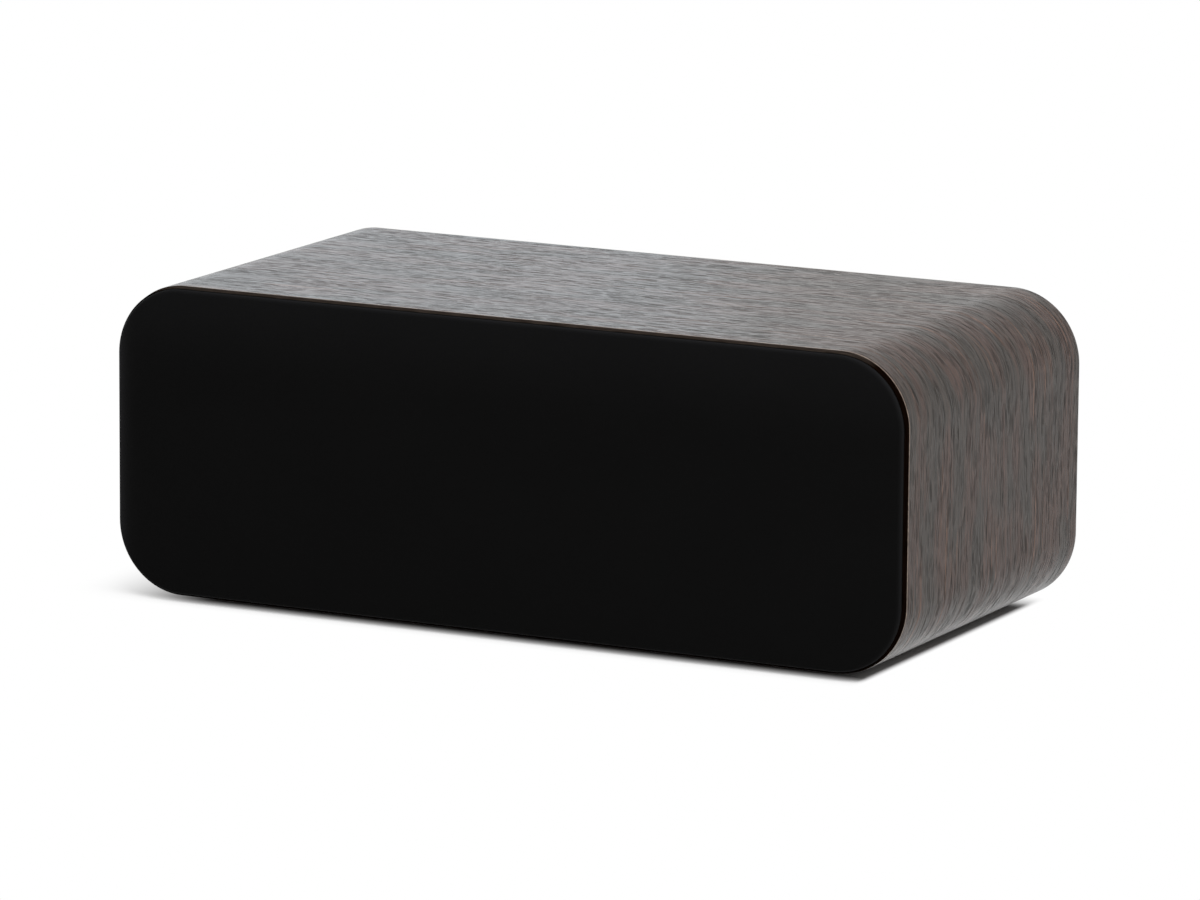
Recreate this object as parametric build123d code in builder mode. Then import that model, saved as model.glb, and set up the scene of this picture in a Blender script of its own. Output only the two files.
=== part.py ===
from build123d import *
import os
from math import cos, radians, sin, sqrt

# Center channel loudspeaker in millimetres. +Z is up, +Y points to the rear, the grille faces -Y,
# and the origin lies on the floor under the middle of the loudspeaker.

# Fits
glue_gap = 0.2
seat_gap = 0.3
run_gap = 0.08

# Cabinet boards
wall = 15.0
corner_radius = 36.0
cabinet_depth = 203.0
lip = 1.0
rim_bevel = 0.7
rim_bevel_depth = 4.0
recess_depth = 7.5
baffle_thickness = 18.0
rear_board = 15.0
rear_inset = 3.0
brace_thickness = 12.0
brace_frame = 28.0
brace_window_radius = 12.0
pad_thickness = 20.0
pad_setback = 2.0
foot_height = 3.0
foot_radius = 8.0
foot_setback = 25.0
foot_inset = 10.0

# Driver layout on the baffle
woofer_radius = 59.0
tweeter_radius = 47.0
driver_gap = 22.0
side_margin = 13.0
top_margin = 4.0

# Woofer, depths measured from the baffle's front face
flange_thickness = 4.0
flange_width = 14.0
basket_wall = 3.2
basket_depth = 35.0
basket_ring = 3.0
basket_waist = 38.0
basket_bore = 20.0
basket_shoulder = 4.2
basket_window_count = 6
basket_window_arc = 38.0
basket_window_inset = 4.0
spider_ledge = 3.0
spider_ledge_height = 3.0
surround_thickness = 0.8
surround_lip = 4.4
roll_radius = 2.3
rim_depth = 5.0
rim_width = 2.6
cone_depth = 16.0
cone_thickness = 0.9
coil_radius = 13.0
former_wall = 0.4
former_reach = 1.0
winding_thickness = 0.6
winding_length = 12.0
dust_cap_radius = 15.0
dust_cap_height = 6.0
dust_cap_thickness = 0.7
spider_thickness = 0.6
spider_rise = 5.0
spider_folds = 3
spider_fold_height = 0.8
trim_width = 4.0
trim_height = 1.6
trim_round = 0.5
magnet_gap = 0.4
top_plate_radius = 36.0
top_plate_thickness = 5.0
woofer_magnet_radius = 40.0
woofer_magnet_bore = 18.0
woofer_magnet_height = 14.0
back_plate_thickness = 5.0
pole_vent_radius = 5.0

# Tweeter, depths measured from the baffle's front face
faceplate_thickness = 4.5
faceplate_boss = 3.6
faceplate_land = 9.0
waveguide_land = 7.0
waveguide_depth = 3.2
dome_radius = 12.6
dome_height = 5.6
dome_thickness = 0.4
dome_roll = 1.7
dome_lip = 2.6
dome_clearance = 0.4
tweeter_plate_inset = 2.0
tweeter_plate_thickness = 4.0
tweeter_magnet_bore = 17.0
tweeter_magnet_height = 10.0
tweeter_coil_length = 3.0
tweeter_coil_thickness = 0.35
tweeter_former_wall = 0.15
tweeter_former_tail = 0.2
tweeter_gap = 0.35
tweeter_pole_setback = 0.8

# Fasteners
screw_radius = 1.6
screw_head_radius = 3.1
screw_length = 14.0
screw_point = 3.0
screw_socket_radius = 1.2
screw_socket_depth = 1.0
countersink = 90.0
woofer_screw_count = 4
woofer_screw_angle = 45.0
tweeter_screw_count = 3
tweeter_screw_angle = 90.0

# Grille
grille_proud = 2.0
grille_gap = 0.4
grille_seat = 0.2
cloth_thickness = 0.8
cloth_hem = 7.0
grille_edge_round = 2.0
grille_ring = 14.0
grille_rib = 12.0
grille_relief = 2.0
magnet_radius = 4.0
magnet_height = 2.0
magnet_edge = 2.0

# Bass port, opening to the rear
port_radius = 20.0
port_wall = 2.5
port_length = 95.0
port_flare = 10.0
port_flange_radius = 36.0
port_flange_thickness = 2.5
port_bell_wall = 7.5
port_bell_depth = 9.0

# Terminal cup and binding posts
cup_width = 64.0
cup_height = 42.0
cup_corner = 6.0
cup_depth = 18.0
cup_wall = 2.5
cup_floor = 3.0
cup_flange = 13.5
cup_flange_thickness = 2.5
cup_screw_inset = 7.0
post_spacing = 19.0
post_radius = 3.1
post_collar_radius = 6.0
post_collar_height = 3.0
post_tail = 11.0
socket_radius = 2.0
socket_depth = 11.0
wire_hole_radius = 1.3
wire_hole_height = 2.0
washer_radius = 5.6
washer_height = 1.2
knob_radius = 6.5
knob_length = 14.0
knob_round = 0.8
knob_flutes = 12
knob_flute_radius = 0.7
nut_width = 10.0
nut_height = 3.0

# Crossover on the rear board
board_thickness = 1.6
board_margin = 3.0
standoff_radius = 4.0
standoff_height = 8.0
woofer_coil_radius = 21.0
woofer_coil_bore = 9.0
woofer_coil_height = 20.0
tweeter_coil_radius = 15.0
tweeter_coil_bore = 7.0
tweeter_coil_height = 14.0
capacitor_radius = 8.0
capacitor_length = 44.0
small_capacitor_radius = 6.0
small_capacitor_length = 30.0
resistor_width = 10.0
resistor_height = 9.0
resistor_length = 34.0
component_gap = 2.0
inductor_spacing = 18.0

# Places that follow from the sizes above
woofer_x = tweeter_radius + driver_gap + woofer_radius
inner_width = 2 * (woofer_x + woofer_radius + side_margin)
inner_height = 2 * (woofer_radius + top_margin)
inner_radius = corner_radius - wall
cabinet_width = inner_width + 2 * wall
cabinet_height = inner_height + 2 * wall
front_y = -(grille_proud + cabinet_depth) / 2
rim_y = front_y + grille_proud
rear_y = rim_y + cabinet_depth
mid_y = (rim_y + rear_y) / 2
baffle_y = rim_y + recess_depth
mid_z = foot_height + cabinet_height / 2
baffle_back_y = baffle_y + baffle_thickness
panel_rear_y = rear_y - rear_inset
panel_front_y = panel_rear_y - rear_board
rib_x = tweeter_radius + driver_gap / 2
faceplate_boss_radius = tweeter_radius - faceplate_land
waveguide_radius = tweeter_radius - waveguide_land
tweeter_plate_radius = faceplate_boss_radius - tweeter_plate_inset
board_width = 2 * (board_margin + woofer_coil_radius + tweeter_coil_radius) + inductor_spacing
capacitor_stack = 2 * (capacitor_radius + small_capacitor_radius + component_gap)
board_height = 2 * (board_margin + woofer_coil_radius) + capacitor_stack
sides = {"left": -1, "right": 1}


def upright(y, x=0.0, z=mid_z):
    """Plane at depth y that faces the listener: local x to the right, local y up."""
    return Plane(origin=(x, y, z), x_dir=(1, 0, 0), z_dir=(0, -1, 0))


def rearward(y, x=0.0, z=mid_z):
    """Plane at depth y that faces the rear: local y up."""
    return Plane(origin=(x, y, z), x_dir=(-1, 0, 0), z_dir=(0, 1, 0))


def half_section(y, x=0.0, z=mid_z, turn=0.0):
    """Plane for the half profile of a turned piece: local x is the radius, local y the depth."""
    a = radians(turn)
    return Plane(origin=(x, y, z), x_dir=(cos(a), 0, sin(a)), z_dir=(-sin(a), 0, cos(a)))


def profile(plane, *outline):
    """Closed face with straight sides."""
    with BuildSketch(plane) as face:
        with BuildLine():
            Polyline(*outline, close=True)
        make_face()
    return face.sketch


def turning_axis(plane):
    """Front-to-rear line through the plane's origin."""
    return Axis(plane.origin, (0, 1, 0))


def turned(plane, *outline):
    """Solid of revolution about the plane's turning axis."""
    with BuildPart() as piece:
        revolve(profile(plane, *outline), axis=turning_axis(plane))
    return piece


# Cabinet shell: one board bent round into a rounded tube, with a thin bevelled lip round the recess
with BuildPart() as cabinet_wrap:
    with BuildSketch(upright(rim_y)):
        RectangleRounded(cabinet_width, cabinet_height, corner_radius)
        RectangleRounded(inner_width, inner_height, inner_radius, mode=Mode.SUBTRACT)
    extrude(amount=-cabinet_depth)
    with BuildSketch(upright(rim_y)):
        RectangleRounded(cabinet_width - 2 * lip, cabinet_height - 2 * lip, corner_radius - lip)
    extrude(amount=-recess_depth, mode=Mode.SUBTRACT)
    rim = cabinet_wrap.faces().sort_by(Axis.Y)[0]
    chamfer(rim.outer_wire().edges(), rim_bevel, rim_bevel_depth, reference=rim)

diagonal = cos(radians(45))

# Magnet places: near the four corners of the baffle and between the drivers
corner_step = inner_radius - (inner_radius - magnet_radius - magnet_edge) * diagonal
corner_magnet_x = inner_width / 2 - corner_step
corner_magnet_z = inner_height / 2 - corner_step
magnet_places = [(sx * corner_magnet_x, sz * corner_magnet_z) for sx in (-1, 1) for sz in (-1, 1)]
magnet_places += [(-rib_x, 0), (rib_x, 0)]

# Screw circles
trim_inner_radius = woofer_radius - flange_width + surround_thickness + seat_gap
trim_outer_radius = trim_inner_radius + trim_width
woofer_screw_circle = (trim_outer_radius + woofer_radius) / 2
tweeter_screw_circle = (waveguide_radius + tweeter_radius) / 2

# Front baffle with rebated cut-outs for the drivers
basket_neck = woofer_radius - flange_width + basket_shoulder
tweeter_cutout = faceplate_boss_radius + seat_gap
with BuildPart() as front_baffle:
    with BuildSketch(upright(baffle_y)):
        RectangleRounded(
            inner_width - 2 * glue_gap, inner_height - 2 * glue_gap, inner_radius - glue_gap
        )
    extrude(amount=-baffle_thickness)
    with Locations(*[upright(baffle_y, s * woofer_x) for s in sides.values()]):
        CounterBoreHole(
            basket_neck + seat_gap, woofer_radius + seat_gap, flange_thickness, baffle_thickness
        )
    for s in sides.values():
        with Locations(upright(baffle_y, s * woofer_x)):
            with PolarLocations(woofer_screw_circle, woofer_screw_count, start_angle=woofer_screw_angle):
                Hole(screw_radius + run_gap, depth=screw_length + seat_gap)
    with Locations(upright(baffle_y)):
        CounterBoreHole(tweeter_cutout, tweeter_radius + seat_gap, faceplate_thickness, baffle_thickness)
        with PolarLocations(tweeter_screw_circle, tweeter_screw_count, start_angle=tweeter_screw_angle):
            Hole(screw_radius + run_gap, depth=screw_length + seat_gap)
    with Locations(*[upright(baffle_y, x, mid_z + z) for x, z in magnet_places]):
        Hole(magnet_radius + run_gap, depth=magnet_height)

# Rear board with cut-outs for the bass port and the terminal cup
cup_x = woofer_x
cup_body_width = cup_width + 2 * cup_wall
cup_body_height = cup_height + 2 * cup_wall
cup_body_corner = cup_corner + cup_wall
cup_screw_x = 2 * (cup_width / 2 + cup_flange - cup_screw_inset)
cup_screw_z = 2 * (cup_height / 2 + cup_flange - cup_screw_inset)
port_bell_radius = port_radius + port_bell_wall
with BuildPart() as rear_panel:
    with BuildSketch(rearward(panel_rear_y)):
        RectangleRounded(
            inner_width - 2 * glue_gap, inner_height - 2 * glue_gap, inner_radius - glue_gap
        )
        Circle(port_bell_radius + seat_gap, mode=Mode.SUBTRACT)
    extrude(amount=-rear_board)
    with BuildSketch(rearward(panel_rear_y, cup_x)):
        RectangleRounded(
            cup_body_width + 2 * seat_gap, cup_body_height + 2 * seat_gap, cup_body_corner + seat_gap
        )
    extrude(amount=-rear_board, mode=Mode.SUBTRACT)
    with Locations(rearward(panel_rear_y, cup_x)):
        with GridLocations(cup_screw_x, cup_screw_z, 2, 2):
            Hole(screw_radius + run_gap, depth=screw_length)


def cabinet_brace(x):
    """Windowed board that ties the baffle, rear board, top and bottom together."""
    length = panel_front_y - baffle_back_y - 2 * glue_gap
    height = inner_height - 2 * glue_gap
    middle_y = (panel_front_y + baffle_back_y) / 2
    plane = Plane(origin=(x, middle_y, mid_z), x_dir=(0, 1, 0), z_dir=(1, 0, 0))
    with BuildPart() as brace:
        with BuildSketch(plane):
            Rectangle(length, height)
            RectangleRounded(
                length - 2 * brace_frame, height - 2 * brace_frame, brace_window_radius, mode=Mode.SUBTRACT
            )
        extrude(amount=brace_thickness / 2, both=True)
    return brace


def damping_pad(side):
    """Foam slab that lines one end of the cabinet."""
    start_y = baffle_back_y + pad_setback
    length = panel_front_y - pad_setback - start_y
    with BuildPart() as pad:
        with BuildSketch(upright(start_y)):
            RectangleRounded(
                inner_width - 2 * glue_gap, inner_height - 2 * glue_gap, inner_radius - glue_gap
            )
            with Locations((side * (inner_width - pad_thickness) / 2, 0)):
                Rectangle(pad_thickness, inner_height, mode=Mode.INTERSECT)
        extrude(amount=-length)
    return pad


# Four rubber feet
with BuildPart() as rubber_feet:
    with BuildSketch(Plane(origin=(0, mid_y, 0))):
        with GridLocations(
            cabinet_width - 2 * (corner_radius + foot_inset + foot_radius),
            cabinet_depth - 2 * foot_setback, 2, 2,
        ):
            Circle(foot_radius)
    extrude(amount=foot_height)

# Bass port: a tube that flares out to the flange on the rear board
with BuildPart() as port_tube:
    port_plane = half_section(panel_rear_y)
    with BuildSketch(port_plane):
        with BuildLine():
            mouth = (port_radius + port_flare, port_flange_thickness)
            throat = (port_radius, port_flange_thickness - port_flare)
            TangentArc(throat, mouth, tangent=(0, 1))
            Polyline(
                mouth,
                (port_flange_radius, port_flange_thickness),
                (port_flange_radius, 0),
                (port_bell_radius, 0),
                (port_bell_radius, -port_bell_depth),
                (port_radius + port_wall, -port_bell_depth),
                (port_radius + port_wall, -port_length),
                (port_radius, -port_length),
                throat,
            )
        make_face()
    revolve(axis=turning_axis(port_plane))

# Magnets let into the baffle
with BuildPart() as baffle_magnets:
    with BuildSketch(*[upright(baffle_y, x, mid_z + z) for x, z in magnet_places]):
        Circle(magnet_radius)
    extrude(amount=-magnet_height)

# Woofer depths and radii
flange_bore = woofer_radius - flange_width
roll_outer = roll_radius + surround_thickness / 2
roll_inner = roll_radius - surround_thickness / 2
roll_center = flange_bore - roll_inner
cone_radius = roll_center - roll_inner
cone_bend = cone_radius - rim_width
neck_radius = coil_radius + glue_gap / 2
neck_depth = rim_depth + cone_depth
cone_slope = cone_depth / (cone_bend - neck_radius)
cone_step = cone_thickness * sqrt(1 + cone_slope**2)
ledge_depth = basket_depth - basket_ring - spider_ledge_height
ledge_outer = basket_waist - basket_wall
ledge_inner = ledge_outer - spider_ledge
plate_back = basket_depth + top_plate_thickness
magnet_back = plate_back + woofer_magnet_height
winding_start = (basket_depth + plate_back - winding_length) / 2


def woofer_basket(x):
    """Cast frame: flange, sloping wall with windows, spider ledge and rear ring."""
    plane = half_section(baffle_y, x)
    window_top = flange_thickness + basket_window_inset
    window_low = ledge_depth - basket_window_inset
    with BuildPart() as basket:
        body = profile(
            plane,
            (flange_bore, 0),
            (woofer_radius, 0),
            (woofer_radius, flange_thickness),
            (basket_neck, flange_thickness),
            (basket_waist, ledge_depth),
            (basket_waist, basket_depth),
            (basket_bore, basket_depth),
            (basket_bore, basket_depth - basket_ring),
            (ledge_inner, basket_depth - basket_ring),
            (ledge_inner, ledge_depth),
            (ledge_outer, ledge_depth),
            (flange_bore, flange_thickness),
        )
        revolve(body, axis=turning_axis(plane))
        for i in range(basket_window_count):
            window = profile(
                half_section(baffle_y, x, turn=i * 360 / basket_window_count),
                (ledge_outer, window_top),
                (woofer_radius, window_top),
                (woofer_radius, window_low),
                (ledge_outer, window_low),
            )
            revolve(
                window, axis=turning_axis(plane), revolution_arc=basket_window_arc, mode=Mode.SUBTRACT
            )
        with Locations(upright(baffle_y, x)):
            with PolarLocations(woofer_screw_circle, woofer_screw_count, start_angle=woofer_screw_angle):
                CounterSinkHole(
                    screw_radius + run_gap, screw_head_radius + run_gap, flange_thickness, countersink
                )
    return basket


def woofer_trim_ring(x):
    """Ring that clamps the edge of the surround on the flange."""
    plane = half_section(baffle_y - surround_thickness, x)
    with BuildPart() as ring:
        section = profile(
            plane,
            (trim_inner_radius, 0),
            (trim_outer_radius, 0),
            (trim_outer_radius, -trim_height),
            (trim_inner_radius, -trim_height),
        )
        revolve(section, axis=turning_axis(plane))
        fillet(ring.faces().sort_by(Axis.Y)[0].edges(), trim_round)
    return ring


def woofer_surround(x):
    """Rubber half roll between the flange and the rim of the cone."""
    plane = half_section(baffle_y, x)
    middle = -surround_thickness / 2
    top_end = roll_center + sqrt(roll_outer**2 - middle**2)
    with BuildPart() as surround:
        with BuildSketch(plane):
            with BuildLine():
                ThreePointArc(
                    (roll_center - roll_outer, middle),
                    (roll_center, middle - roll_outer),
                    (top_end, -surround_thickness),
                )
                Polyline(
                    (top_end, -surround_thickness),
                    (flange_bore + surround_lip, -surround_thickness),
                    (flange_bore + surround_lip, 0),
                    (flange_bore, 0),
                    (flange_bore, middle),
                )
                ThreePointArc(
                    (flange_bore, middle), (roll_center, middle - roll_inner), (cone_radius, middle)
                )
                Polyline(
                    (cone_radius, middle),
                    (cone_radius, rim_depth),
                    (cone_bend, rim_depth),
                    (cone_bend, rim_depth - surround_thickness),
                    (roll_center - roll_outer, rim_depth - surround_thickness),
                    (roll_center - roll_outer, middle),
                )
            make_face()
        revolve(axis=turning_axis(plane))
    return surround


def woofer_cone(x):
    """Paper cone with a flat rim under the surround."""
    front = [(cone_radius, rim_depth), (cone_bend, rim_depth), (neck_radius, neck_depth)]
    back = [(r, d + cone_step) for r, d in reversed(front)]
    return turned(half_section(baffle_y, x), *front, *back)


def woofer_dust_cap(x):
    """Domed cap glued on the cone over the coil."""
    plane = half_section(baffle_y, x)
    base = rim_depth + (cone_bend - dust_cap_radius) * cone_slope - glue_gap
    crown = base - dust_cap_height
    inner_radius_cap = dust_cap_radius - dust_cap_thickness
    with BuildPart() as cap:
        with BuildSketch(plane):
            with BuildLine():
                TangentArc((0, crown), (dust_cap_radius, base), tangent=(1, 0))
                Line((dust_cap_radius, base), (inner_radius_cap, base))
                TangentArc((0, crown + dust_cap_thickness), (inner_radius_cap, base), tangent=(1, 0))
                Line((0, crown + dust_cap_thickness), (0, crown))
            make_face()
        revolve(axis=turning_axis(plane))
    return cap


def woofer_voice_coil(x):
    """Former with its copper winding in the magnet gap."""
    bore = coil_radius - former_wall
    return turned(
        half_section(baffle_y, x),
        (bore, neck_depth - former_reach),
        (coil_radius, neck_depth - former_reach),
        (coil_radius, winding_start),
        (coil_radius + winding_thickness, winding_start),
        (coil_radius + winding_thickness, winding_start + winding_length),
        (bore, winding_start + winding_length),
    )


def woofer_spider(x):
    """Cupped, corrugated cloth ring that centres the coil."""
    steps = 2 * spider_folds
    line = []
    for i in range(steps + 1):
        radius = ledge_inner + (neck_radius - ledge_inner) * i / steps
        depth = ledge_depth - spider_thickness - spider_rise * i / steps
        line.append((radius, depth + spider_fold_height * (0, -1, 0, 1)[i % 4]))
    landing = ledge_outer - glue_gap
    front = [(landing, ledge_depth - spider_thickness)] + line
    back = [(r, d + spider_thickness) for r, d in reversed(front)]
    return turned(half_section(baffle_y, x), *front, *back)


def woofer_top_plate(x):
    """Steel plate that closes the magnet gap from outside."""
    bore = coil_radius + winding_thickness + magnet_gap
    return turned(
        half_section(baffle_y, x),
        (bore, basket_depth),
        (top_plate_radius, basket_depth),
        (top_plate_radius, plate_back),
        (bore, plate_back),
    )


def woofer_magnet(x):
    """Ferrite ring."""
    return turned(
        half_section(baffle_y, x),
        (woofer_magnet_bore, plate_back),
        (woofer_magnet_radius, plate_back),
        (woofer_magnet_radius, magnet_back),
        (woofer_magnet_bore, magnet_back),
    )


def woofer_back_plate(x):
    """Steel back plate with its vented pole."""
    pole = coil_radius - former_wall - magnet_gap
    return turned(
        half_section(baffle_y, x),
        (pole_vent_radius, basket_depth),
        (pole, basket_depth),
        (pole, magnet_back),
        (top_plate_radius, magnet_back),
        (top_plate_radius, magnet_back + back_plate_thickness),
        (pole_vent_radius, magnet_back + back_plate_thickness),
    )


def screw_outline():
    """Half profile of a countersunk screw, head at depth zero."""
    head_height = screw_head_radius - screw_radius
    return (
        (0, screw_socket_depth),
        (screw_socket_radius, screw_socket_depth),
        (screw_socket_radius, 0),
        (screw_head_radius, 0),
        (screw_radius, head_height),
        (screw_radius, screw_length - screw_point),
        (0, screw_length),
    )


def screws(places, y, facing):
    """Group of equal screws whose heads lie in the plane at depth y."""
    with BuildPart() as group:
        for x, z in places:
            plane = half_section(y, x, z)
            outline = [(r, d * facing) for r, d in screw_outline()]
            revolve(profile(plane, *outline), axis=turning_axis(plane))
    return group


def circle_places(radius, count, start, x=0.0):
    """Points (x, z) spread evenly on a circle around a driver's centre."""
    angles = [radians(start + i * 360 / count) for i in range(count)]
    return [(x + radius * cos(a), mid_z + radius * sin(a)) for a in angles]


woofer_screw_places = [
    place
    for s in sides.values()
    for place in circle_places(woofer_screw_circle, woofer_screw_count, woofer_screw_angle, s * woofer_x)
]
woofer_screws = screws(woofer_screw_places, baffle_y, 1)
tweeter_screw_places = circle_places(tweeter_screw_circle, tweeter_screw_count, tweeter_screw_angle)
tweeter_screws = screws(tweeter_screw_places, baffle_y, 1)

# Tweeter depths and radii
boss_back = faceplate_thickness + faceplate_boss
roll_edge = dome_radius + 2 * dome_roll
dome_edge = roll_edge + dome_lip
dome_depth = boss_back - dome_clearance - dome_thickness
lip_pocket = dome_depth - dome_clearance
tweeter_plate_back = boss_back + tweeter_plate_thickness
tweeter_magnet_back = tweeter_plate_back + tweeter_magnet_height
tweeter_winding_start = boss_back + (tweeter_plate_thickness - tweeter_coil_length) / 2

# Tweeter faceplate: a disc that dishes in to the dome, with a boss behind
with BuildPart() as tweeter_faceplate:
    faceplate_section = profile(
        half_section(baffle_y),
        (tweeter_radius, 0),
        (tweeter_radius, faceplate_thickness),
        (faceplate_boss_radius, faceplate_thickness),
        (faceplate_boss_radius, boss_back),
        (dome_edge + dome_clearance, boss_back),
        (dome_edge + dome_clearance, lip_pocket),
        (roll_edge + dome_clearance, lip_pocket),
        (roll_edge + dome_clearance, waveguide_depth),
        (waveguide_radius, 0),
    )
    revolve(faceplate_section, axis=turning_axis(half_section(baffle_y)))
    with Locations(upright(baffle_y)):
        with PolarLocations(tweeter_screw_circle, tweeter_screw_count, start_angle=tweeter_screw_angle):
            CounterSinkHole(
                screw_radius + run_gap, screw_head_radius + run_gap, faceplate_thickness, countersink
            )

# Soft dome with its own half roll and flat lip
with BuildPart() as tweeter_dome:
    dome_plane = half_section(baffle_y + dome_depth)
    skin = dome_thickness
    with BuildSketch(dome_plane):
        with BuildLine():
            TangentArc((0, -dome_height), (dome_radius, 0), tangent=(1, 0))
            ThreePointArc((dome_radius, 0), (dome_radius + dome_roll, -dome_roll), (roll_edge, 0))
            Polyline(
                (roll_edge, 0),
                (dome_edge, 0),
                (dome_edge, skin),
                (roll_edge - skin, skin),
                (roll_edge - skin, 0),
            )
            ThreePointArc(
                (roll_edge - skin, 0), (dome_radius + dome_roll, skin - dome_roll), (dome_radius + skin, 0)
            )
            Polyline((dome_radius + skin, 0), (dome_radius + skin, skin), (dome_radius - skin, skin))
            TangentArc((0, skin - dome_height), (dome_radius - skin, skin), tangent=(1, 0))
            Line((0, skin - dome_height), (0, -dome_height))
        make_face()
    revolve(axis=turning_axis(dome_plane))

# Tweeter coil and magnet system
tweeter_coil_end = tweeter_winding_start + tweeter_coil_length
tweeter_voice_coil = turned(
    half_section(baffle_y),
    (dome_radius - tweeter_former_wall, dome_depth + dome_thickness),
    (dome_radius, dome_depth + dome_thickness),
    (dome_radius, tweeter_winding_start),
    (dome_radius + tweeter_coil_thickness, tweeter_winding_start),
    (dome_radius + tweeter_coil_thickness, tweeter_coil_end),
    (dome_radius, tweeter_coil_end),
    (dome_radius, tweeter_coil_end + tweeter_former_tail),
    (dome_radius - tweeter_former_wall, tweeter_coil_end + tweeter_former_tail),
)
tweeter_bore = dome_radius + tweeter_coil_thickness + tweeter_gap
tweeter_top_plate = turned(
    half_section(baffle_y),
    (tweeter_bore, boss_back),
    (tweeter_plate_radius, boss_back),
    (tweeter_plate_radius, tweeter_plate_back),
    (tweeter_bore, tweeter_plate_back),
)
tweeter_magnet = turned(
    half_section(baffle_y),
    (tweeter_magnet_bore, tweeter_plate_back),
    (tweeter_plate_radius, tweeter_plate_back),
    (tweeter_plate_radius, tweeter_magnet_back),
    (tweeter_magnet_bore, tweeter_magnet_back),
)
tweeter_pole = dome_radius - tweeter_former_wall - tweeter_gap
tweeter_back_plate = turned(
    half_section(baffle_y),
    (0, boss_back + tweeter_pole_setback),
    (tweeter_pole, boss_back + tweeter_pole_setback),
    (tweeter_pole, tweeter_magnet_back),
    (tweeter_plate_radius, tweeter_magnet_back),
    (tweeter_plate_radius, tweeter_magnet_back + tweeter_plate_thickness),
    (0, tweeter_magnet_back + tweeter_plate_thickness),
)

# Grille outline, inside the lip of the cabinet and a little proud of it
grille_width = cabinet_width - 2 * (lip + grille_gap)
grille_height = cabinet_height - 2 * (lip + grille_gap)
grille_corner = corner_radius - lip - grille_gap
grille_back_y = baffle_y - grille_seat
grille_depth = grille_back_y - front_y

# Cloth pulled over the frame and folded to a hem behind it
with BuildPart() as grille_cloth:
    with BuildSketch(upright(front_y)):
        RectangleRounded(grille_width, grille_height, grille_corner)
    extrude(amount=-grille_depth)
    fillet(grille_cloth.faces().sort_by(Axis.Y)[0].edges(), grille_edge_round)
    offset(amount=-cloth_thickness, openings=grille_cloth.faces().sort_by(Axis.Y)[-1])
    with BuildSketch(upright(grille_back_y)):
        RectangleRounded(grille_width, grille_height, grille_corner)
        RectangleRounded(
            grille_width - 2 * cloth_hem,
            grille_height - 2 * cloth_hem,
            grille_corner - cloth_hem,
            mode=Mode.SUBTRACT,
        )
    extrude(amount=cloth_thickness)

# Frame under the cloth: a ring with stiff corners and two ribs that leave three windows
frame_inset = cloth_thickness + glue_gap
frame_front_y = front_y + frame_inset
frame_back_y = grille_back_y - frame_inset
window_width = grille_width - 2 * (frame_inset + grille_ring)
window_height = grille_height - 2 * (frame_inset + grille_ring)
corner_reach = window_width / 2 - corner_magnet_x + (magnet_radius + magnet_edge) * diagonal
window_corner = corner_reach / (1 - diagonal)
with BuildPart() as grille_frame:
    with BuildSketch(upright(frame_front_y)):
        RectangleRounded(
            grille_width - 2 * frame_inset, grille_height - 2 * frame_inset, grille_corner - frame_inset
        )
    extrude(amount=frame_front_y - frame_back_y)
    fillet(grille_frame.faces().sort_by(Axis.Y)[0].edges(), grille_edge_round - frame_inset)
    with BuildSketch(upright(frame_front_y)):
        RectangleRounded(window_width, window_height, window_corner)
        with Locations((-rib_x, 0), (rib_x, 0)):
            Rectangle(grille_rib, window_height, mode=Mode.SUBTRACT)
    extrude(amount=frame_front_y - frame_back_y, mode=Mode.SUBTRACT)
    chamfer(grille_frame.faces().sort_by(Axis.Y)[0].inner_wires().edges(), grille_relief)
    with Locations(*[rearward(frame_back_y, x, mid_z + z) for x, z in magnet_places]):
        Hole(magnet_radius + run_gap, depth=magnet_height)

# Magnets let into the back of the frame
with BuildPart() as grille_magnets:
    with BuildSketch(*[rearward(frame_back_y, x, mid_z + z) for x, z in magnet_places]):
        Circle(magnet_radius)
    extrude(amount=-magnet_height)

# Terminal cup: a dished moulding let into the rear board
cup_face_y = panel_rear_y + cup_flange_thickness
cup_floor_y = cup_face_y - cup_depth
post_places = {"red": cup_x - post_spacing / 2, "black": cup_x + post_spacing / 2}
with BuildPart() as terminal_cup:
    with BuildSketch(rearward(panel_rear_y, cup_x)):
        RectangleRounded(cup_width + 2 * cup_flange, cup_height + 2 * cup_flange, cup_body_corner)
    extrude(amount=cup_flange_thickness)
    with BuildSketch(rearward(cup_floor_y - cup_floor, cup_x)):
        RectangleRounded(cup_body_width, cup_body_height, cup_body_corner)
    extrude(amount=cup_depth + cup_floor)
    with BuildSketch(rearward(cup_face_y, cup_x)):
        RectangleRounded(cup_width, cup_height, cup_corner)
    extrude(amount=-cup_depth, mode=Mode.SUBTRACT)
    with Locations(*[rearward(cup_floor_y, x) for x in post_places.values()]):
        Hole(post_radius + run_gap, depth=cup_floor)
    with Locations(rearward(cup_face_y, cup_x)):
        with GridLocations(cup_screw_x, cup_screw_z, 2, 2):
            CounterSinkHole(
                screw_radius + run_gap, screw_head_radius + run_gap, cup_flange_thickness, countersink
            )
terminal_screws = screws(
    [(cup_x + u * cup_screw_x / 2, mid_z + v * cup_screw_z / 2) for u in (-1, 1) for v in (-1, 1)],
    cup_face_y,
    -1,
)

# Binding posts, heights measured outwards from the floor of the cup
washer_top = post_collar_height + washer_height
knob_top = washer_top + knob_length


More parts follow.
